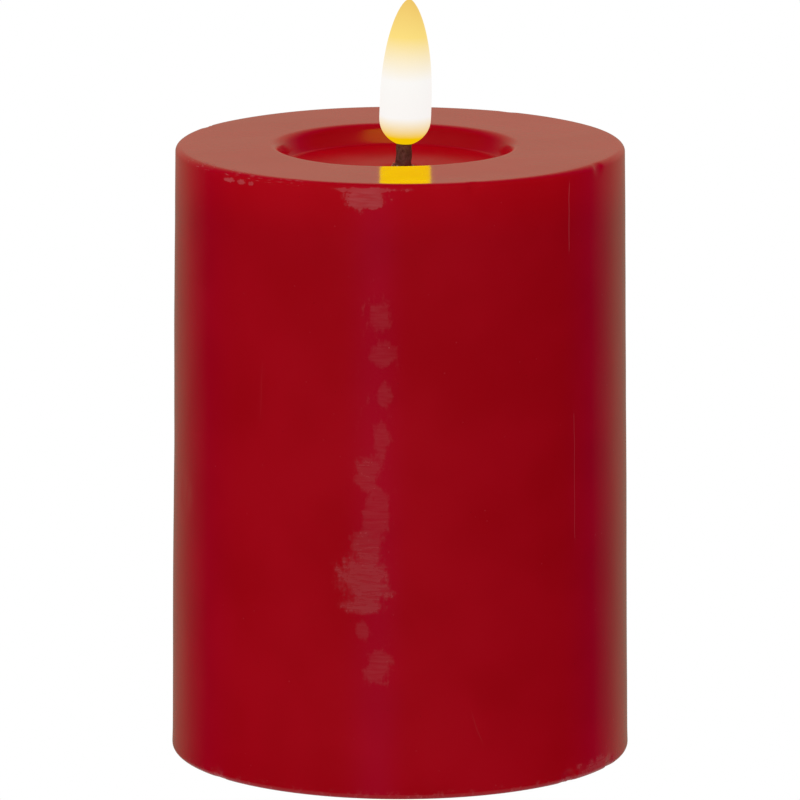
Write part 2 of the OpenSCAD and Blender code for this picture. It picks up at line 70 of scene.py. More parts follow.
# ---------------------------------------------------------------- node trees
class Field:
    """A number in a node tree. Python's operators on it add Math nodes."""

    def __init__(self, tree, socket):
        self.tree, self.socket = tree, socket

    def _math(self, operation, *others, first=None):
        node = self.tree.nodes.new("ShaderNodeMath")
        node.operation = operation
        values = list(others) if first is not None else [self, *others]
        if first is not None:
            values = [first, self]
        for slot_in, value in zip(node.inputs, values):
            plug(self.tree, slot_in, value)
        return Field(self.tree, node.outputs[0])

    def __add__(self, other):
        return self._math("ADD", other)

    def __sub__(self, other):
        return self._math("SUBTRACT", other)

    def __mul__(self, other):
        return self._math("MULTIPLY", other)

    def __truediv__(self, other):
        return self._math("DIVIDE", other)

    def __rsub__(self, other):
        return self._math("SUBTRACT", first=other)

    def __neg__(self):
        return self * -1.0

    def __abs__(self):
        return self._math("ABSOLUTE")

    def above(self, other):
        return self._math("GREATER_THAN", other)

    def below(self, other):
        return self._math("LESS_THAN", other)

    def max(self, other):
        return self._math("MAXIMUM", other)

    def min(self, other):
        return self._math("MINIMUM", other)

    def power(self, other):
        return self._math("POWER", other)

    def fraction(self):
        return self._math("FRACT")

    def angle_to(self, other):
        return self._math("ARCTAN2", other)

    __radd__ = __add__
    __rmul__ = __mul__

    def ramp(self, low, high, to_low=0.0, to_high=1.0):
        """Smooth step from to_low at low to to_high at high."""
        node = self.tree.nodes.new("ShaderNodeMapRange")
        node.interpolation_type = "SMOOTHSTEP"
        plug(self.tree, node.inputs["Value"], self)
        for name, value in (("From Min", low), ("From Max", high), ("To Min", to_low), ("To Max", to_high)):
            node.inputs[name].default_value = value
        return Field(self.tree, node.outputs["Result"])


def plug(tree, socket, value):
    """Gives a socket a Field, an output socket, a number or a colour."""
    if isinstance(value, Field):
        tree.links.new(value.socket, socket)
    elif isinstance(value, bpy.types.NodeSocket):
        tree.links.new(value, socket)
    elif isinstance(value, (tuple, list)) and len(value) == 3 and socket.type == "RGBA":
        socket.default_value = (*value, 1.0)
    else:
        socket.default_value = value


class Look:
    """A Principled material and what its nodes are made from, with coordinates in millimetres."""

    def __init__(self, name):
        self.material = bpy.data.materials.new(name)
        self.material.use_nodes = True
        self.tree = self.material.node_tree
        self.shader = next(n for n in self.tree.nodes if n.type == "BSDF_PRINCIPLED")
        place = self.tree.nodes.new("ShaderNodeTexCoord")
        scale = self.tree.nodes.new("ShaderNodeVectorMath")
        scale.operation = "SCALE"
        scale.inputs["Scale"].default_value = 1.0 / MM
        self.tree.links.new(place.outputs["Object"], scale.inputs[0])
        self.point = scale.outputs[0]
        split = self.tree.nodes.new("ShaderNodeSeparateXYZ")
        self.tree.links.new(self.point, split.inputs[0])
        self.x, self.y, self.z = (Field(self.tree, s) for s in split.outputs)

    def vector(self, x, y, z):
        node = self.tree.nodes.new("ShaderNodeCombineXYZ")
        for socket, value in zip(node.inputs, (x, y, z)):
            plug(self.tree, socket, value)
        return node.outputs[0]

    def noise(self, size, detail=2.0, rough=0.5, at=None):
        """Noise with features of that size in millimetres, from 0 to 1."""
        node = self.tree.nodes.new("ShaderNodeTexNoise")
        node.inputs["Scale"].default_value = 1.0 / size
        node.inputs["Detail"].default_value = detail
        node.inputs["Roughness"].default_value = rough
        self.tree.links.new(at or self.point, node.inputs["Vector"])
        return Field(self.tree, node.outputs["Fac"])

    def cells(self, size, at=None):
        """Distance to the nearest point of a random scatter, in units of size."""
        node = self.tree.nodes.new("ShaderNodeTexVoronoi")
        node.inputs["Scale"].default_value = 1.0 / size
        self.tree.links.new(at or self.point, node.inputs["Vector"])
        return Field(self.tree, node.outputs["Distance"])

    def attribute(self, name):
        node = self.tree.nodes.new("ShaderNodeAttribute")
        node.attribute_name = name
        return Field(self.tree, node.outputs["Fac"])

    def mix(self, factor, low, high):
        node = self.tree.nodes.new("ShaderNodeMix")
        node.data_type = "RGBA"
        sockets = [s for s in node.inputs if s.type == "RGBA"]
        plug(self.tree, node.inputs[0], factor)
        plug(self.tree, sockets[0], low)
        plug(self.tree, sockets[1], high)
        return next(s for s in node.outputs if s.type == "RGBA")

    def colours(self, factor, stops):
        """Colour ramp: stops are (place, linear colour)."""
        node = self.tree.nodes.new("ShaderNodeValToRGB")
        fill_ramp(node.color_ramp, stops)
        plug(self.tree, node.inputs[0], factor)
        return node.outputs["Color"]

    def set(self, **values):
        """Sets the shader's sockets: base, rough, metal, and Blender's own names with _ for a space."""
        short = {"base": "Base Color", "rough": "Roughness", "metal": "Metallic", "ior": "IOR"}
        for name, value in values.items():
            plug(self.tree, self.shader.inputs[short.get(name) or name.replace("_", " ")], value)
        return self

    def bump(self, height, depth):
        """Bump whose height of 1 is that depth in millimetres."""
        node = self.tree.nodes.new("ShaderNodeBump")
        node.inputs["Distance"].default_value = depth * MM
        plug(self.tree, node.inputs["Height"], height)
        self.tree.links.new(node.outputs["Normal"], self.shader.inputs["Normal"])
        return self


def linear(*rgb):
    """Linear colour of an sRGB colour given from 0 to 255."""
    return tuple(c / 255 / 12.92 if c <= 10.31 else ((c / 255 + 0.055) / 1.055) ** 2.4 for c in rgb)


def fill_ramp(ramp, stops):
    while len(ramp.elements) > 1:
        ramp.elements.remove(ramp.elements[-1])
    for i, (place, colour) in enumerate(stops):
        element = ramp.elements[0] if i == 0 else ramp.elements.new(place)
        element.position = place
        element.color = (*colour, 1.0)


# ---------------------------------------------------------------- light
AMBIENT = 0.52
KEY_SHARE = 0.27
KEY_FROM = Vector((-0.47, -0.73, 0.50)).normalized()
BEHIND = [          # what gloss reflects, from straight ahead (0.5) to straight behind the candle (1.0)
    (0.5, (0.0, 0.0, 0.0)), (0.7, (0.07, 0.0, 0.07)), (0.8, (0.17, 0.09, 0.11)), (0.9, (0.27, 0.21, 0.15)),
]
LOBE_COLOUR = (0.30, 0.02, 0.22)    # a wide, dim, magenta light in front and to the left, seen only in gloss
LOBE_X = -0.2
LOBE_HALF = 0.3
FROM_BELOW = 0.4    # neutral light from below, seen only in gloss, that shows the underside's metal


def make_world():
    world = bpy.data.worlds.new("studio")
    scene.world = world
    world.use_nodes = True
    world.cycles.sampling_method = "NONE"
    tree = world.node_tree
    tree.nodes.clear()
    place = tree.nodes.new("ShaderNodeTexCoord")
    split = tree.nodes.new("ShaderNodeSeparateXYZ")
    tree.links.new(place.outputs["Generated"], split.inputs[0])
    x, y, z = (Field(tree, s) for s in split.outputs)
    soft = AMBIENT + KEY_SHARE * (KEY_FROM.x * x + KEY_FROM.y * y + KEY_FROM.z * z)
    ramp = tree.nodes.new("ShaderNodeValToRGB")
    fill_ramp(ramp.color_ramp, BEHIND)
    plug(tree, ramp.inputs[0], y * 0.5 + 0.5)
    path = tree.nodes.new("ShaderNodeLightPath")
    lobe = abs(x - LOBE_X).ramp(LOBE_HALF, 0.0) * y.ramp(-0.1, -0.5)

    def background(colour, strength):
        node = tree.nodes.new("ShaderNodeBackground")
        plug(tree, node.inputs["Color"], colour)
        plug(tree, node.inputs["Strength"], strength)
        return node.outputs[0]

    def switch(factor, low, high):
        node = tree.nodes.new("ShaderNodeMixShader")
        for socket, value in zip(node.inputs, (factor, low, high)):
            tree.links.new(value, socket)
        return node.outputs[0]

    lobe = lobe * z.ramp(-0.65, -0.3)
    below = z.ramp(-0.3, -0.65)
    gloss = tree.nodes.new("ShaderNodeAddShader")
    under = tree.nodes.new("ShaderNodeAddShader")
    rear = background(ramp.outputs["Color"], z.ramp(-0.25, 0.22, 1.0, 1.75) * (x * 0.25 + 1.0))
    tree.links.new(rear, gloss.inputs[0])
    tree.links.new(background(LOBE_COLOUR, lobe), gloss.inputs[1])
    tree.links.new(gloss.outputs[0], under.inputs[0])
    tree.links.new(background((1.0, 0.99, 0.98), below * FROM_BELOW), under.inputs[1])
    gloss = under.outputs[0]
    shade = switch(path.outputs["Is Glossy Ray"], background((1.0, 0.985, 0.97), soft), gloss)
    shade = switch(path.outputs["Is Camera Ray"], shade, background((1.0, 1.0, 1.0), 1.0))
    out = tree.nodes.new("ShaderNodeOutputWorld")
    tree.links.new(shade, out.inputs["Surface"])


def emitter(name, colour, strength):
    material = bpy.data.materials.new(name)
    material.use_nodes = True
    tree = material.node_tree
    tree.nodes.clear()
    glow = tree.nodes.new("ShaderNodeEmission")
    glow.inputs["Color"].default_value = (*colour, 1.0)
    glow.inputs["Strength"].default_value = strength
    out = tree.nodes.new("ShaderNodeOutputMaterial")
    tree.links.new(glow.outputs[0], out.inputs["Surface"])
    return material


def add_mesh(name, verts, faces, material=None, sharp=None):
    mesh = bpy.data.meshes.new(name)
    mesh.from_pydata([tuple(v) for v in verts], [], faces)
    obj = bpy.data.objects.new(name, mesh)
    scene.collection.objects.link(obj)
    if sharp is not None:
        mesh.shade_smooth()
        mesh.set_sharp_from_angle(angle=math.radians(sharp))
    if material is not None:
        mesh.materials.append(material)
    return obj


def make_floor():
    half = 3.0
    corners = [(-half, -half, 0), (half, -half, 0), (half, half, 0), (-half, half, 0)]
    floor = add_mesh("floor", corners, [(0, 1, 2, 3)])
    material = emitter("floor_white", (1.0, 1.0, 1.0), 1.0)
    tree = material.node_tree
    glow = next(n for n in tree.nodes if n.type == "EMISSION")
    out = next(n for n in tree.nodes if n.type == "OUTPUT_MATERIAL")
    side = tree.nodes.new("ShaderNodeNewGeometry")
    clear = tree.nodes.new("ShaderNodeBsdfTransparent")
    mix = tree.nodes.new("ShaderNodeMixShader")
    tree.links.new(side.outputs["Backfacing"], mix.inputs[0])
    tree.links.new(glow.outputs[0], mix.inputs[1])
    tree.links.new(clear.outputs[0], mix.inputs[2])
    tree.links.new(mix.outputs[0], out.inputs["Surface"])
    floor.data.materials.append(material)
    only_for(floor, camera=True)


def only_for(obj, camera=False, glossy=False, diffuse=False):
    """Which rays see a stage object."""
    obj.visible_camera, obj.visible_glossy, obj.visible_diffuse = camera, glossy, diffuse
    obj.visible_transmission = obj.visible_volume_scatter = obj.visible_shadow = False


def make_bounce():
    """Light that a white table throws back onto the foot."""
    inner, outer, seg = 38.0, 50.0, 64
    turns = [2 * math.pi * i / seg for i in range(seg)]
    verts = [(r * math.sin(a) * MM, r * math.cos(a) * MM, 0.0) for r in (inner, outer) for a in turns]
    faces = [(i, (i + 1) % seg, seg + (i + 1) % seg, seg + i) for i in range(seg)]
    ring = add_mesh("bounce", verts, faces, emitter("bounce_white", (1.0, 1.0, 1.0), 0.6))
    only_for(ring, diffuse=True)


make_world()
make_floor()
make_bounce()


# ---------------------------------------------------------------- mesh helpers
def arc(cx, cz, r, a0, a1, steps):
    """Points (radius, height) of an arc in degrees, without its first point."""
    turns = [math.radians(a0 + (a1 - a0) * i / steps) for i in range(1, steps + 1)]
    return [(cx + r * math.cos(a), cz + r * math.sin(a)) for a in turns]


def line(p, q, steps):
    """Points from p to q, without p."""
    return [tuple(a + (b - a) * i / steps for a, b in zip(p, q)) for i in range(1, steps + 1)]


def revolve(name, rings, seg, material, closed=False, shape=None, sharp=40, place=None):
    """A turned surface. rings are (radius, height, centre's x, centre's y) in millimetres; angle 0 is -Y and
    grows towards +X. shape(angles, points, ring number) moves a ring's points. An open outline is closed
    on its axis."""
    angles = np.arange(seg) * 2 * math.pi / seg
    loops = []
    for i, ring in enumerate(rings):
        r, z, cx, cy = (*ring, 0.0, 0.0)[:4]
        pts = np.stack([cx + r * np.sin(angles), cy - r * np.cos(angles), np.full(seg, float(z))], 1)
        loops.append(shape(angles, pts, i) if shape else pts)
    verts = np.concatenate(loops)
    k, n = np.arange(seg), len(rings)
    faces = []
    for i in range(n if closed else n - 1):
        a, b = i * seg, ((i + 1) % n) * seg
        faces += np.stack([a + k, a + (k + 1) % seg, b + (k + 1) % seg, b + k], 1).tolist()
    if not closed:
        for i, order in ((0, -1), (n - 1, 1)):
            verts = np.concatenate([verts, loops[i].mean(0, keepdims=True)])
            c = len(verts) - 1
            ring_ids = (i * seg + k)[::order]
            faces += [[int(ring_ids[j]), int(ring_ids[(j + 1) % seg]), c] for j in range(seg)]
    if place is not None:
        turn = np.array(place.to_3x3())
        verts = verts @ turn.T + np.array(place.translation)
    return add_mesh(name, verts * MM, faces, material, sharp)


def smooth_path(points, steps):
    """Catmull-Rom curve through points."""
    p = [np.array(q, float) for q in points]
    out = []
    for i in range(len(p) - 1):
        a, b, c, d = p[max(i - 1, 0)], p[i], p[i + 1], p[min(i + 2, len(p) - 1)]
        for j in range(steps):
            t = j / steps
            square, cube = 2 * a - 5 * b + 4 * c - d, 3 * b - a - 3 * c + d
            out.append(0.5 * (2 * b + (c - a) * t + square * t ** 2 + cube * t ** 3))
    return np.array(out + [p[-1]])


def tube(name, path, radius, sides, material, start=(0.3, 1.0, 0.1)):
    """A round tube with closed ends along a path, in millimetres."""
    path = np.asarray(path, float)
    verts, up = [], np.array(start, float)
    for i in range(len(path)):
        along = path[min(i + 1, len(path) - 1)] - path[max(i - 1, 0)]
        along /= np.linalg.norm(along)
        up = up - along * (up @ along)
        up /= np.linalg.norm(up)
        side = np.cross(along, up)
        t = np.arange(sides) * 2 * math.pi / sides
        verts.append(path[i] + radius * (np.cos(t)[:, None] * up + np.sin(t)[:, None] * side))
    verts = np.concatenate(verts)
    faces, last = [], (len(path) - 1) * sides
    for i in range(len(path) - 1):
        for k in range(sides):
            a, b = i * sides + k, i * sides + (k + 1) % sides
            faces.append([a, b, b + sides, a + sides])
    faces.append(list(range(sides))[::-1])
    faces.append([last + k for k in range(sides)])
    return add_mesh(name, verts * MM, faces, material, 50)


def value_noise(seed):
    """Smooth random function of points in millimetres, about -1 to 1, as a sum of seeded waves."""
    rng = np.random.default_rng(seed)
    waves = rng.normal(size=(14, 3))
    waves /= np.linalg.norm(waves, axis=1, keepdims=True)
    phase = rng.uniform(0, 2 * math.pi, 14)
    grow = rng.uniform(0.7, 1.5, 14)

    def at(points, size):
        return np.sin(points @ (waves * (2 * math.pi / size * grow)[:, None]).T + phase).mean(1) * 2.4
    return at


def piece(obj, body, slot_name, *replaced):
    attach(obj, body)
    if replaced:
        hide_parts(*replaced)
    return obj


# ---------------------------------------------------------------- sizes from the frame
_, wax_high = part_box("wax_shell")
FOOT_R = wax_high.x / MM
TOP_Z = wax_high.z / MM
EDGE = 1.0
TOP_R = FOOT_R - 0.9
POCKET_R, HOLLOW_R, STEP_Z, CEILING_Z = 32.7, 30.6, 24.2, 86.0
POOL_DEPTH, POOL_R, POOL_X, LIP, CORNER, LEAN_WALL = 3.8, 20.3, -0.8, 1.5, 1.2, math.radians(20)
POOL_Z = TOP_Z - POOL_DEPTH
DISH = 0.7
WICK_X, WICK_R, WICK_SHOW = 0.2, 1.3, 3.95
ON_FLAME = Matrix.Translation((0.55, 0, POOL_Z)) @ Matrix.Rotation(math.radians(2.0), 4, "Y")
FLAME_H, FLAME_BELLY, FLAME_R = 23.75, 6.35, 4.2
FLAME_FOOT, FOOT_CUT, LED_Z = 4.25, 0.35, 5.8



# ---------------------------------------------------------------- wax
# Pale, rougher patches on the wax. Most are rubs. Those from -4 to -10 degrees up the front left are rougher
# wax with a painted highlight: the dim light's reflection is painted as paler colour.
RUBS_AND_SHEEN = [  # angle from the front in degrees, height, half width and half height in mm, strength
    # the first: a blob of painted highlight under the painted highlight line at 99.5 mm
    (-7, 98, 3, 1.5, 1.6), (-5, 79, 1.5, 2.5, 0.4), (-4, 73, 2, 2, 0.4), (-4, 66, 1.5, 2, 0.4),
    (-5, 59, 1.5, 3, 0.4), (-8, 53, 2, 3, 0.5), (-6, 47, 2, 5, 0.4), (-8, 41, 2, 4, 0.6),
    (-9, 36, 4, 4, 0.8),
    (-9, 28, 1, 2, 0.4), (-6, 22, 2, 3, 0.5), (60, 1, 8, 1.5, 0.8), (-10, 32, 3, 1.5, 0.8),
    (102, 78, 5, 9, 0.4), (128, 30, 7, 5, 0.5), (171, 62, 4, 11, 0.4), (196, 12, 8, 3, 0.5),
    (228, 84, 6, 4, 0.5), (262, 40, 5, 8, 0.4),
    # the first: a painted highlight line, a light's reflection along the front top edge; the next three:
    # narrow pale dashes on the top rim
    (-7, 99.5, 5, 0.4, 1.4), (-48, 99, 1.2, 0.4, 2.2), (-44, 99, 0.8, 0.4, 2.2), (-41, 99, 0.8, 0.4, 2.2),
]
DENTS = [  # angle, height, radius, depth
    (18.6, 99.9, 1.1, 0.30), (-27.0, 100.2, 0.9, 0.16), (61.0, 100.1, 1.2, 0.18), (-118.0, 99.8, 1.6, 0.30),
    (150.0, 100.1, 1.3, 0.25), (47.0, 0.5, 1.6, 0.28), (66.0, 0.8, 1.3, 0.20), (-52.0, 0.4, 1.4, 0.22),
    (-9.5, 35.5, 5.0, 0.05), (104.0, 76.0, 4.0, 0.10), (196.0, 14.0, 3.5, 0.12), (230.0, 83.0, 3.0, 0.10),
    (-70.0, 45.0, 2.5, 0.06), (33.0, 22.0, 2.2, 0.05),
]


def wax_outline():
    lip_end = (POOL_R - LIP * math.cos(LEAN_WALL), TOP_Z - LIP + LIP * math.sin(LEAN_WALL))
    corner_end_z = POOL_Z + CORNER - CORNER * math.sin(LEAN_WALL)
    corner_end = (lip_end[0] - math.tan(LEAN_WALL) * (lip_end[1] - corner_end_z), corner_end_z)
    corner_c = (corner_end[0] - CORNER * math.cos(LEAN_WALL), POOL_Z + CORNER)
    outer = [(FOOT_R - EDGE - 3.5, 0.0)] + line((FOOT_R - EDGE - 3.5, 0.0), (FOOT_R - EDGE, 0.0), 4)
    outer += arc(FOOT_R - EDGE, EDGE, EDGE, -90, 0, 8)
    outer += line((FOOT_R, EDGE), (FOOT_R - 0.03, 4.0), 6)
    outer += line((FOOT_R - 0.03, 4.0), (TOP_R + 0.03, TOP_Z - 4.0), 116)
    outer += line((TOP_R + 0.03, TOP_Z - 4.0), (TOP_R, TOP_Z - EDGE), 6)
    outer += arc(TOP_R - EDGE, TOP_Z - EDGE, EDGE, 0, 90, 9)
    rings = [(r, z, 0.0) for r, z in outer]
    flat = line((TOP_R - EDGE, TOP_Z), (POOL_R, TOP_Z), 18)
    rings += [(r, z, POOL_X * (i + 1) / 18) for i, (r, z) in enumerate(flat)]
    pool = arc(POOL_R, TOP_Z - LIP, LIP, 90, 180 - math.degrees(LEAN_WALL), 10)
    pool += line(lip_end, corner_end, 3)
    corner = arc(corner_c[0], corner_c[1], CORNER, -math.degrees(LEAN_WALL), -90, 8)
    pool += [(r, z + DISH * (i + 1) / 8) for i, (r, z) in enumerate(corner)]
    rings += [(r, z, POOL_X) for r, z in pool]
    hole = WICK_R + 0.1
    floor = line((corner_c[0], POOL_Z), (hole, POOL_Z), 26)
    start = corner_c[0]
    for r, z in floor:
        share = (start - r) / (start - hole)
        rise = DISH * max(0.0, 1 - share) ** 1.3 + 0.30 * math.exp(-(r - hole) / 0.7)
        rings.append((r, z + rise, POOL_X + (WICK_X - POOL_X) * share))
    rings += [(hole, 94.0, WICK_X), (3.1, 94.0, WICK_X), (3.1, CEILING_Z, WICK_X)]
    rings += [(r, CEILING_Z, WICK_X * (1 - (r - 3.1) / (HOLLOW_R - 9.1)))
              for r, _ in line((3.1, 0), (HOLLOW_R - 6, 0), 6)]
    rings += [(r, z, 0.0) for r, z in arc(HOLLOW_R - 6, CEILING_Z - 6, 6, 90, 0, 7)]
    rings += [(r, z, 0.0) for r, z in line((HOLLOW_R, CEILING_Z - 6), (HOLLOW_R, STEP_Z), 12)]
    rings += [(POCKET_R, STEP_Z, 0.0)]
    rings += [(r, z, 0.0) for r, z in line((POCKET_R, STEP_Z), (POCKET_R, 0.3), 5)]
    return rings, len(outer), len(outer) + 18 + len(pool)


FAINT_LINES = [  # place round the wax in mm from the front, lowest and highest point, tilt
    (-24.0, 60.0, 71.0, 0.05), (12.5, 8.0, 15.0, -0.35), (74.0, 30.0, 55.0, 0.03),
    (-88.0, 20.0, 64.0, -0.02), (112.0, 50.0, 90.0, 0.04),
]
WAX_SEGMENTS = 384


def angle_gap(a, b):
    return (a - b + math.pi) % (2 * math.pi) - math.pi


def wax_shaper(outer_count, pool_end):
    wave, ripple = value_noise(SEED), value_noise(SEED + 1)

    def shape(angles, pts, i):
        if i >= pool_end + 26:
            return pts
        if i < outer_count:
            out = np.stack([np.sin(angles), -np.cos(angles)], 1)
            z = pts[0, 2]
            hold = min(1.0, z / 3.0)     # the foot's rim stays flat on the table
            push = (0.045 * wave(pts, 34.0) + 0.012 * ripple(pts, 9.0)) * hold - 0.05 * hold
            for a, height, radius, depth in DENTS:
                away = np.hypot(angle_gap(angles, math.radians(a)) * FOOT_R, z - height) / radius
                push -= depth * np.exp(-(away ** 4)) * (1 + 0.5 * ripple(pts, 1.3))
            pts[:, :2] += out * push[:, None]
            near_top = max(0.0, (z - (TOP_Z - 2.0)) / 2.0)
            pts[:, 2] += near_top * 0.05 * (wave(pts * [1, 1, 0], 30.0) - 1.2)
        else:
            pts[:, 2] += 0.05 * (wave(pts * [1, 1, 0], 30.0) - 1.2) + 0.008 * ripple(pts, 7.0)
            if i >= outer_count + 16 and i < pool_end:
                centre = np.array([POOL_X, 0.0])
                off = pts[:, :2] - centre
                pts[:, :2] = centre + off * (1 + 0.0035 * wave(pts * [1, 1, 0] + 40.0, 22.0))[:, None]
        return pts
    return shape


def wax_look(name, specular):
    """Dyed wax: deep red and glossy, paler and duller where it was rubbed, with a painted highlight up the
    front left and along the front top edge, and hairline scratches.
    """
    m = Look(name)
    around = m.x.angle_to(-m.y) * 37.0
    wall = m.vector(around, 0.0, m.z)
    # rubbed wax, and up the front left rougher wax with a painted highlight: paler colour where the light's
    # reflection falls
    rub_and_sheen = m.attribute("rub_and_sheen")
    streaks = m.noise(1.0, 3.0, 0.6, m.vector(around * 0.28, 0.0, m.z * 2.2))
    ragged = m.noise(2.2, 4.0, 0.65)
    shreds = m.noise(0.8, 4.0, 0.7, m.vector(around, 0.0, m.z * 0.45))
    rubs_and_sheen = (rub_and_sheen + (ragged - 0.5) * 1.1 + (shreds - 0.5) * 0.7).ramp(0.36, 0.62) * m.attribute("rub_and_sheen_strength")
    rubs_and_sheen = rubs_and_sheen * streaks.ramp(0.3, 0.65, 0.45, 1.0)
    # painted reflection: a column of paler colour up the front left, where the dim light's reflection falls
    # on the wall
    painted_reflection_column = abs(around + 4.0).ramp(4.5, 0.5) * m.z.ramp(18.0, 30.0) * m.z.ramp(92.0, 80.0)
    rubs_and_sheen = rubs_and_sheen.max(painted_reflection_column * shreds.ramp(0.52, 0.66) * ragged.ramp(0.45, 0.65) * 0.45)
    fine = m.noise(0.35, 2.0, 0.5)
    cloud = m.noise(14.0, 2.0, 0.5)

    def hairline(angle_mm, low, high, tilt, width):
        across = abs(around - angle_mm - (m.z - (low + high) / 2) * tilt + (m.noise(5.0, 1.0) - 0.5) * 0.5)
        on = across.ramp(width, width * 0.3)
        return on * m.z.ramp(low, low + 2.0) * m.z.ramp(high, high - 2.0)

    lines = hairline(30.8, 86.5, 99.5, 0.02, 0.11).max(hairline(31.9, 39.0, 62.0, -0.012, 0.09) * 0.7)
    for at, low, high, tilt in FAINT_LINES:
        lines = lines.max(hairline(at, low, high, tilt, 0.08) * 0.35)
    # short pale pinkish dashes along the top rim, most of them towards the front left, and scuffs along the
    # foot
    dashes = m.noise(0.5, 2.0, 0.6, m.vector(around * 0.35, 0.0, m.z * 3.0)).ramp(0.58, 0.70)
    radius = (m.x * m.x + m.y * m.y).power(0.5)
    rim = m.z.ramp(TOP_Z - 1.4, TOP_Z - 0.5) * radius.ramp(TOP_R - 1.9, TOP_R - 0.7)
    rim_dash_spread = (m.noise(9.0, 1.0) - 0.015 * abs(around + 29.0)).ramp(0.22, 0.50)
    foot = m.z.ramp(2.0, 0.3)
    edge_marks = (rim * dashes * rim_dash_spread * 1.6).max(foot * m.noise(1.1, 3.0, 0.7).ramp(0.52, 0.70) * 0.55)
    specks = m.cells(2.3).ramp(0.075, 0.045) * m.noise(6.0, 1.0).ramp(0.5, 0.62)
    grit = m.cells(1.6, m.vector(m.x + 31.0, m.y, m.z)).ramp(0.06, 0.035)
    grit = grit * m.noise(8.0, 1.0).ramp(0.52, 0.60)

    red = m.mix(cloud.ramp(0.3, 0.7), (0.445, 0.0, 0.0065), (0.485, 0.0, 0.0085))
    # paler colour for rubs, edge marks, scratches and specks, and for the painted highlight up the front
    # left
    pale = rubs_and_sheen * (0.17 + 0.07 * streaks) + edge_marks * 0.42 + lines * 0.22 + specks * 0.18
    red = m.mix(pale.min(0.8), red, (0.62, 0.14, 0.155))
    red = m.mix(grit * 0.5, red, (0.10, 0.0, 0.0))
    in_pool = radius.ramp(21.5, 20.0) * m.z.ramp(TOP_Z - 0.6, TOP_Z - 2.4) * m.z.above(POOL_Z - 1.0)
    rough = 0.085 + 0.05 * fine + 0.06 * cloud + 0.25 * rubs_and_sheen + 0.3 * edge_marks.max(lines) + 0.06 * in_pool
    m.set(base=red, rough=rough.min(0.7), ior=1.45, Subsurface_Weight=0.12, Subsurface_Scale=0.004)
    # the lit flame shines a little way into the wax
    shine = m.z.ramp(TOP_Z - 11.0, TOP_Z, 0.0, 0.06)
    m.set(Emission_Color=(1.0, 0.0, 0.0), Emission_Strength=shine + in_pool * 0.03)
    m.shader.inputs["Subsurface Radius"].default_value = (1.0, 0.12, 0.08)
    m.shader.inputs["Specular IOR Level"].default_value = specular
    grain = m.noise(0.9, 3.0, 0.6, wall) * 0.35 + streaks * rubs_and_sheen * 0.8 - lines * 0.9
    grain = grain - dashes * rim * rim_dash_spread * 0.7 + fine * 0.08
    m.bump(grain, 0.012)
    return m.material


def make_wax():
    rings, outer_count, pool_end = wax_outline()
    shape = wax_shaper(outer_count, pool_end)
    look = wax_look("red_wax", 0.5)
    wax = revolve("wax_pillar", rings, WAX_SEGMENTS, look, closed=True, shape=shape, sharp=50)
    mesh = wax.data
    mesh.materials.append(wax_look("red_wax_pool_floor", 0.1))   # the pool's floor shines less
    floor = np.zeros(len(mesh.polygons), np.int32)
    floor[(pool_end - 1) * WAX_SEGMENTS:(pool_end + 25) * WAX_SEGMENTS] = 1
    mesh.polygons.foreach_set("material_index", floor)
    co = np.zeros(len(mesh.vertices) * 3)
    mesh.vertices.foreach_get("co", co)
    co = co.reshape(-1, 3) / MM
    angles = np.arctan2(co[:, 0], -co[:, 1])
    rub_and_sheen = np.zeros(len(co))
    rub_and_sheen_strength = np.zeros(len(co))
    lean = value_noise(SEED + 2)(co, 11.0) * 1.3     # bends the marks out of round
    outside = np.hypot(co[:, 0], co[:, 1]) > TOP_R - 1.2
    # per point of the wax: the rubs, and up the front left the patches of painted highlight
    for a, height, half_w, half_h, strength in RUBS_AND_SHEEN:
        side = angle_gap(angles, math.radians(a)) * FOOT_R + lean * min(1.0, half_w / 3)
        away = np.hypot(side / half_w, (co[:, 2] - height) / half_h)
        near = np.clip(1.0 - away / 2.0, 0, 1)
        rub_and_sheen_strength = np.where(near > rub_and_sheen, strength, rub_and_sheen_strength)
        rub_and_sheen = np.maximum(rub_and_sheen, near)
    for name, values in (("rub_and_sheen", rub_and_sheen * outside), ("rub_and_sheen_strength", rub_and_sheen_strength * outside)):
        layer = mesh.attributes.new(name, "FLOAT", "POINT")
        layer.data.foreach_set("value", values.astype(np.float32))
    piece(wax, "candle", "red_wax", "wax_shell")


make_wax()


# ---------------------------------------------------------------- flame and wick
AMBER, CREAM, WHITE = linear(245, 205, 0), linear(245, 220, 150), linear(248, 248, 245)
STRAW, SAND = linear(248, 220, 125), linear(235, 195, 100)
FLAME_TONES = [  # how a lit flame goes from amber at its foot through white to straw at its tip
    (0.05, AMBER), (0.1, CREAM), (0.2, WHITE), (0.45, WHITE), (0.75, STRAW), (1.0, SAND),
]


def flame_half(z):
    if z < FLAME_FOOT:
        return FLAME_R * max(1 - ((FLAME_FOOT - z) / (FLAME_FOOT + FOOT_CUT)) ** 2.2, 0) ** 0.6
    if z < FLAME_BELLY:
        return FLAME_R
    return FLAME_R * max(1 - ((z - FLAME_BELLY) / (FLAME_H - FLAME_BELLY)) ** 2.15, 0) ** 0.62


def flame_outline(grow=0.0, hollow=True):
    steps = 72
    heights = [FLAME_H * (1 - math.cos(math.pi * i / steps)) / 2 for i in range(1, steps)]
    outline = [(flame_half(h) + grow, WICK_SHOW + h) for h in heights]
    if not hollow:
        return outline
    bore, room = WICK_R + 0.05, 2.05
    inside = [(0.9, LED_Z + 7.0), (room, LED_Z + 6.2), (room, LED_Z), (bore, LED_Z)]
    inside.append((bore, WICK_SHOW + 0.25))
    return outline[::-1], inside[::-1]


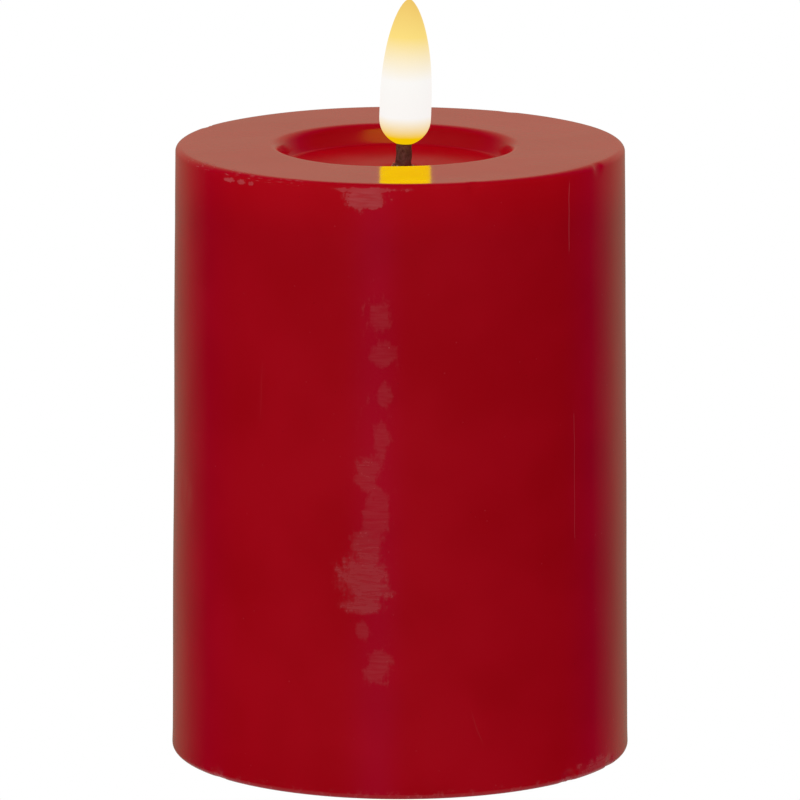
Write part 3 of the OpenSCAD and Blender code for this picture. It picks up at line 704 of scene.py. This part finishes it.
def make_flame():
    m = Look("flame_silicone")
    axis = ON_FLAME.to_3x3() @ Vector((0, 0, 1))
    foot = ON_FLAME @ Vector((0, 0, WICK_SHOW))
    height = ((m.x - foot.x) * axis.x + (m.y - foot.y) * axis.y + (m.z - foot.z) * axis.z) / FLAME_H
    height = height + (m.noise(3.0, 2.0) - 0.5) * 0.018
    tones = m.colours(height, FLAME_TONES)
    m.set(rough=0.42 + 0.1 * m.noise(0.6), ior=1.41, Emission_Strength=0.87, Emission_Color=tones)
    m.set(base=m.mix(0.72, tones, (0.0, 0.0, 0.0)))
    m.bump(m.noise(0.5, 2.0), 0.01)
    outer, inner = flame_outline()
    tip = [(0.02, WICK_SHOW + FLAME_H)]
    rings = tip + outer + [(WICK_R + 0.12, WICK_SHOW + 0.02)] + inner
    flame = revolve("flame", rings, 96, m.material, sharp=50, place=ON_FLAME)
    flame.visible_glossy = False
    piece(flame, "candle", "flame_silicone", "flame_diffuser")
    # a lit flame is far brighter than a picture can show: this copy gives wax its strong warm reflection
    bright = emitter("flame_glow", (1.0, 0.80, 0.0), 1.85)
    glow = revolve("flame_glow", flame_outline(-0.06, False), 48, bright, place=ON_FLAME)
    only_for(glow, glossy=True)


def make_wick():
    m = Look("wick_plastic")
    twist = m.noise(0.5, 3.0, 0.65)
    tone = m.mix(twist.ramp(0.3, 0.7), linear(80, 45, 30), linear(130, 90, 80))
    m.set(base=m.mix(m.z.ramp(POOL_Z + 1.6, POOL_Z + 0.1) * 0.6, tone, linear(132, 52, 36)),
          rough=0.62 + 0.2 * twist, ior=1.46)
    m.bump(m.noise(0.22, 3.0, 0.7), 0.06)
    bend = [(WICK_X, 0.0, z) for z in np.linspace(80.5, POOL_Z, 24)]
    bend += [tuple(ON_FLAME @ Vector((0, 0, s))) for s in np.linspace(0.6, 5.8, 26)]
    sides, verts, faces = 40, [], []
    rough = value_noise(SEED + 3)
    t = np.arange(sides) * 2 * math.pi / sides
    for wall, order in ((0.0, 1), (0.35, -1)):
        for p in bend[::order]:
            around = np.stack([p[0] + np.cos(t), np.sin(t), np.full(sides, p[2])], 1)
            lay = 0.05 * np.cos(5 * t + p[2] * 2.4) + 0.04 * rough(around, 0.9)
            seen = 1.0 if POOL_Z - 0.5 < p[2] < POOL_Z + WICK_SHOW - 0.1 else 0.0
            flare = 0.18 * math.exp(-abs(p[2] - POOL_Z) / 0.5) * seen
            r = (WICK_R - wall) + (0 if wall else (lay - 0.03 + flare) * seen)
            verts.append(np.stack([p[0] + r * np.sin(t), p[1] - r * np.cos(t), np.full(sides, p[2])], 1))
    count, k = len(verts), np.arange(sides)
    for i in range(count):
        a, b = i * sides, ((i + 1) % count) * sides
        faces += np.stack([a + k, a + (k + 1) % sides, b + (k + 1) % sides, b + k], 1).tolist()
    wick = add_mesh("wick", np.concatenate(verts) * MM, faces, m.material, 60)
    piece(wick, "candle", "wick_plastic", "wick_sleeve")


def make_crumbs():
    """Dry, pale wax crumbs caught round the wick's foot."""
    m = Look("wax_crumbs")
    tone = m.noise(0.5, 2.0)
    m.set(base=m.mix(tone.ramp(0.35, 0.65), linear(150, 60, 50), linear(205, 165, 145)))
    m.set(rough=0.7 + 0.1 * tone)
    m.bump(m.noise(0.1, 2.0), 0.02)
    rng = np.random.default_rng(SEED + 4)
    mesh = bmesh.new()
    for _ in range(26):
        a, far = rng.uniform(0, 2 * math.pi), WICK_R + abs(rng.normal(0.25, 0.35))
        size = rng.uniform(0.10, 0.24)
        height = POOL_Z + 0.30 * math.exp(-(far - 1.4) / 0.7) + size * 0.3 - 0.06
        at = Vector((WICK_X + far * math.cos(a), far * math.sin(a), height)) * MM
        made = bmesh.ops.create_icosphere(mesh, subdivisions=2, radius=size * MM)
        squash = Matrix.Diagonal((rng.uniform(0.7, 1.3), rng.uniform(0.7, 1.3), rng.uniform(0.5, 0.9), 1.0))
        turn = Matrix.Rotation(rng.uniform(0, 3.1), 4, Vector(rng.normal(size=3)).normalized())
        for v in made["verts"]:
            v.co = (turn @ squash @ v.co) * (1 + 0.2 * rng.normal()) + at
    data = bpy.data.meshes.new("wick_crumbs")
    mesh.to_mesh(data)
    mesh.free()
    data.materials.append(m.material)
    crumbs = bpy.data.objects.new("wick_crumbs", data)
    scene.collection.objects.link(crumbs)
    piece(crumbs, "candle", "red_wax")


make_flame()
make_wick()
make_crumbs()


# ---------------------------------------------------------------- other materials
def moulded(name, low, high, rough, grain=0.4, depth=0.008):
    """Moulded plastic: fine even texture, a slow change of tone and light scuffs."""
    m = Look(name)
    fine = m.noise(grain, 2.0, 0.6)
    scuff = m.noise(1.6, 3.0, 0.7, m.vector(m.x * 0.25, m.y, m.z)).ramp(0.60, 0.70)
    m.set(base=m.mix((m.noise(9.0).ramp(0.3, 0.7) * 0.6 + scuff * 0.4).min(1.0), low, high), ior=1.5)
    m.set(rough=rough + 0.1 * (fine - 0.5) + 0.12 * scuff)
    return m.bump(fine + scuff * 0.3, depth)


def plated(name, low, high, rough, lines=(1.0, 1.0, 1.0)):
    """Bare or plated metal with fine rolling lines, longer along the axis whose number is small."""
    m = Look(name)
    along = m.noise(0.3, 3.0, 0.6, m.vector(m.x * lines[0], m.y * lines[1], m.z * lines[2]))
    dull = m.noise(3.0, 3.0, 0.6)
    m.set(base=m.mix(dull.ramp(0.35, 0.7), high, low), metal=1.0)
    m.set(rough=rough + 0.12 * (along - 0.5) + 0.12 * dull.ramp(0.45, 0.7))
    return m.bump(along, 0.004)


def part_metal(m, where, body, tone, rough=0.3):
    """Turns the places where the field is 1 into tinned metal, over a body colour."""
    m.set(base=m.mix(where, body, tone), metal=where)
    m.set(rough=m.noise(0.6, 2.0) * 0.1 + 0.5 - where * (0.5 - rough))
    return m


def dress(look, *nodes):
    for node in nodes:
        for slot_of in NODES[node].material_slots:
            slot_of.material = look.material


TIN = (0.62, 0.62, 0.60)
STEEL_LOW, STEEL_HIGH = (0.42, 0.42, 0.43), (0.62, 0.62, 0.63)
NICKEL_LOW, NICKEL_HIGH = (0.52, 0.50, 0.46), (0.72, 0.70, 0.66)


def dress_plastics():
    dress(moulded("black_plastic", (0.010, 0.010, 0.011), (0.030, 0.030, 0.031), 0.48),
          "stem_holder", "base_housing", "core_cover", "battery_door")
    dress(moulded("white_plastic", (0.66, 0.66, 0.64), (0.76, 0.76, 0.74), 0.40), "switch_slider")
    dress(moulded("knob_plastic", (0.014, 0.014, 0.015), (0.04, 0.04, 0.042), 0.38, 0.25), "switch_knob")
    glue = moulded("hot_melt", (0.66, 0.60, 0.46), (0.78, 0.74, 0.62), 0.30, 1.4, 0.05)
    glue.set(Subsurface_Weight=0.3, Subsurface_Scale=0.002)
    dress(glue, "glue_beads")


def dress_metals():
    dress(plated("screw_steel", STEEL_LOW, STEEL_HIGH, 0.32, (1.0, 1.0, 0.3)),
          "case_screws", "door_screw", "board_screws")
    dress(plated("contact_steel", NICKEL_LOW, NICKEL_HIGH, 0.28, (1.0, 0.2, 1.0)),
          "bridge_contact", "positive_contact", "negative_contact")
    dress(plated("switch_can", NICKEL_LOW, NICKEL_HIGH, 0.34, (0.2, 1.0, 1.0)), "switch_frame")
    dress(plated("crystal_can", STEEL_LOW, STEEL_HIGH, 0.26, (1.0, 1.0, 0.2)), "crystal")


BOARD_Y, BOARD_TOP = 22.0, 9.4
WIRE_ENDS = ((8.8, 18.6), (4.0, 18.4), (-8.2, 18.4), (-6.0, 18.4))


def dress_board():
    m = Look("board_laminate")
    ring = m.z * 0.0
    for x, y in WIRE_ENDS:
        off = (m.x - x) * (m.x - x) + (m.y - y) * (m.y - y)
        ring = ring.max(off.below(0.85 ** 2))
    wander = m.noise(4.0, 1.0) * 2.4
    track = abs(((m.y + wander) * 0.55).fraction() - 0.5).below(0.13)
    track = track * abs(m.x).below(12.0)
    green = m.mix(track, (0.008, 0.085, 0.028), (0.016, 0.135, 0.045))
    cut = abs(m.x).above(12.93).max(abs(m.y - BOARD_Y).above(4.63))
    part_metal(m, ring * (1.0 - cut), m.mix(cut, green, (0.32, 0.30, 0.14)), TIN, 0.25)
    m.bump(track * 0.8 + m.noise(0.4) * 0.2, 0.02)
    dress(m, "circuit_board")


def dress_parts():
    def dark(name, legs, node, body=(0.012, 0.012, 0.013)):
        m = Look(name)
        part_metal(m, legs(m), body, TIN)
        m.bump(m.noise(0.25, 2.0), 0.01)
        dress(m, node)

    dark("timer_epoxy", lambda m: abs(m.y - 24.4).above(1.2), "timer_chip")
    dark("transistor_epoxy", lambda m: abs(m.y - 24.6).above(0.65), "transistor")
    dark("resistor_film", lambda m: abs(m.x + 3.6).min(abs(m.x)).min(abs(m.x - 6.8)).above(0.69),
         "resistors")
    dark("phenolic", lambda m: m.z.above(8.06), "switch_base", (0.24, 0.12, 0.045))

    m = Look("capacitor_sleeve")
    off_x, off_y = m.x + 6.4, m.y - 23.9
    stripe = off_x.angle_to(-off_y)
    cap = m.z.above(15.6) * (off_x * off_x + off_y * off_y).below(1.55 ** 2)
    part_metal(m, cap, m.mix(abs(stripe).below(0.4), (0.015, 0.022, 0.09), (0.45, 0.47, 0.52)), TIN)
    m.bump(m.noise(0.5), 0.01)
    dress(m, "capacitor")

    m = Look("led_epoxy")
    leads = m.z.below(POOL_Z + LED_Z - 0.1)
    part_metal(m, leads, (0.85, 0.70, 0.35), TIN)
    m.set(Emission_Color=(1.0, 0.72, 0.28), Emission_Strength=(1.0 - leads) * (0.9 + 0.2 * m.noise(0.8)))
    dress(m, "flame_led")


dress_plastics()
dress_metals()
dress_board()
dress_parts()


# ---------------------------------------------------------------- cells
CELL_R = 7.1
CELL_Z = 10.1
CELL_Y = 7.25
BUTTON_END = 27.0
CELL_LENGTH = 50.3


def cell_look(name, side):
    """A plain sleeved cell: tinned ends, a paler band at the button's end, and a plus and a minus."""
    m = Look(name)
    along = m.x * side
    across, down = (m.y - side * CELL_Y) * side, CELL_Z - m.z
    radius = (across * across + down * down).power(0.5)
    far_end = BUTTON_END - CELL_LENGTH
    ends = along.above(BUTTON_END - 1.75).max(along.below(far_end + 0.25)) * radius.below(5.75)
    arc_mm = across.angle_to(down) * CELL_R
    bar = abs(arc_mm).below(1.7)
    plus = (bar * abs(along - 18.0).below(0.35)).max(abs(along - 18.0).below(1.7) * abs(arc_mm).below(0.35))
    minus = bar * abs(along + 17.0).below(0.35)
    sleeve = m.mix(along.above(12.5), (0.012, 0.075, 0.050), (0.42, 0.30, 0.10))
    sleeve = m.mix(along.above(12.5) * along.below(13.1), sleeve, (0.6, 0.6, 0.56))
    sleeve = m.mix(plus, sleeve, (0.02, 0.02, 0.02))
    sleeve = m.mix(minus, sleeve, (0.65, 0.65, 0.62))
    part_metal(m, ends, sleeve, TIN, 0.24)
    m.bump(m.noise(0.9, 3.0, 0.6), 0.01)
    return m.material


def make_cell(node, side):
    low = BUTTON_END - CELL_LENGTH
    profile = [(0.6, low + 0.35)] + line((0.6, low + 0.35), (5.0, low + 0.35), 3) + [(5.35, low)]
    profile += [(6.3, low), (6.5, low + 0.1)] + arc(CELL_R - 0.6, low + 0.7, 0.6, -90, 0, 5)
    profile += line((CELL_R, low + 0.7), (CELL_R, BUTTON_END - 2.3), 8)
    profile += arc(CELL_R - 0.6, BUTTON_END - 2.3, 0.6, 0, 90, 5)
    profile += [(5.9, BUTTON_END - 1.7), (5.6, BUTTON_END - 1.9), (3.4, BUTTON_END - 1.9)]
    profile += [(3.1, BUTTON_END - 1.7), (2.75, BUTTON_END - 1.5), (2.7, BUTTON_END - 0.4)]
    profile += arc(2.3, BUTTON_END - 0.4, 0.4, 0, 90, 4)
    profile += [(0.5, BUTTON_END)]
    turn = Matrix.Rotation(math.radians(90.0 if side > 0 else -90.0), 4, "Y")
    place = Matrix.Translation((0, side * CELL_Y, CELL_Z)) @ turn
    look = cell_look("cell_jacket_" + node[-1], side)
    cell = revolve(node + "_sleeved", profile, 64, look, sharp=40, place=place)
    piece(cell, "cell_" + node[-1], "cell_jacket", node)


make_cell("battery_cell_a", 1)
make_cell("battery_cell_b", -1)


# ---------------------------------------------------------------- springs and wires
def make_springs():
    look = plated("spring_steel", NICKEL_LOW, NICKEL_HIGH, 0.24)
    turns, wide, narrow, length, wire = 3.5, 4.3, 2.7, 2.96, 0.32
    far = 27.55 - 0.4 - wire
    for name, side in (("contact_spring_a", -1), ("contact_spring_b", 1)):
        path = []
        for i in range(141):
            t = i / 140
            angle, r = 2 * math.pi * turns * t, wide + (narrow - wide) * t
            y, z = side * (r * math.cos(angle) - CELL_Y), CELL_Z + r * math.sin(angle)
            path.append((side * (far - length * t), y, z))
        spring = tube(name + "_wound", path, wire, 14, look.material, (1.0, 0.0, 0.0))
        piece(spring, "candle", "spring_steel", name)


def pvc(name, low, high):
    m = Look(name)
    bare = m.z.below(BOARD_TOP + 1.3)
    part_metal(m, bare, m.mix(m.noise(3.0).ramp(0.35, 0.65), low, high), TIN)
    return m.bump(m.noise(0.4, 2.0), 0.006).material


def make_wires():
    end_z = 9.7
    routes = {
        "battery_wire_red": ("red_pvc", 0.5, (0.42, 0.006, 0.008), (0.52, 0.010, 0.012), [
            (27, 7.2, 20.6), (25.6, 8.8, 20.7), (22.6, 11.6, 20.6), (18.4, 14.6, 20.5), (14.2, 16.9, 19.2),
            (11.4, 18.2, 16), (9.4, 18.6, 12.6), (8.8, 18.6, end_z)]),
        "battery_wire_black": ("black_pvc", 0.5, (0.010, 0.010, 0.011), (0.022, 0.022, 0.023), [
            (27, -7.2, 20.6), (25.2, -5.6, 20.7), (20.8, -1.6, 20.7), (15.4, 4.8, 20.6), (11, 10.8, 20.6),
            (7.6, 15.4, 20.4), (5.4, 17.8, 17.6), (4.2, 18.4, 13), (4, 18.4, end_z)]),
        "led_wire_positive": ("yellow_pvc", 0.42, (0.62, 0.34, 0.012), (0.70, 0.40, 0.02), [
            (-8.2, 18.4, end_z), (-8.2, 18.4, 13.4), (-7.4, 17.9, 18), (-5.2, 14.2, 20.5), (-3, 8, 20.6),
            (-1.3, 2.6, 21.3), (-0.9, 1.2, 24.4), (-1, 1.8, 31), (-1.2, 4.2, 41), (-1, 3.4, 52),
            (0.2, -1.8, 62), (0.6, -1.4, 71), (0.2, 0.3, 75.6), (0.2, 0.47, 79.6), (0.2, 0.47, 86),
            (0.2, 0.47, 96.6)]),
        "led_wire_negative": ("white_pvc", 0.42, (0.66, 0.66, 0.64), (0.76, 0.76, 0.74), [
            (-6, 18.4, end_z), (-6, 18.4, 13.4), (-5.4, 17.9, 18), (-3.4, 13.8, 20.5), (-1.4, 7, 20.6),
            (0.2, 1.6, 21.3), (0.5, 0, 24.4), (0.6, 0.2, 31), (0.7, 2.6, 41), (0.8, 1.6, 52),
            (1.7, -3.6, 62), (1.6, -2.9, 71), (0.5, -1, 75.6), (0.2, -0.47, 79.6), (0.2, -0.47, 86),
            (0.2, -0.47, 96.6)]),
    }
    for node, (slot_name, radius, low, high, route) in routes.items():
        wire = tube(node + "_run", smooth_path(route, 10), radius, 16, pvc(slot_name, low, high))
        piece(wire, "candle", slot_name, node)


def make_solder():
    m = Look("solder")
    m.set(base=TIN, metal=1.0, rough=0.26 + 0.12 * m.noise(0.5, 2.0))
    m.bump(m.noise(0.5, 2.0), 0.02)
    for i, (x, y) in enumerate(WIRE_ENDS):
        cone = ((0.95, 0.01), (0.93, 0.08), (0.78, 0.3), (0.62, 0.6), (0.55, 0.95), (0.3, 1.05))
        profile = [(r, BOARD_TOP + height) for r, height in cone]
        place = Matrix.Translation((x, y, 0))
        joint = revolve("solder_joint_%d" % (i + 1), profile, 24, m.material, sharp=60, place=place)
        piece(joint, "candle", "contact_steel")


make_springs()
make_wires()
make_solder()
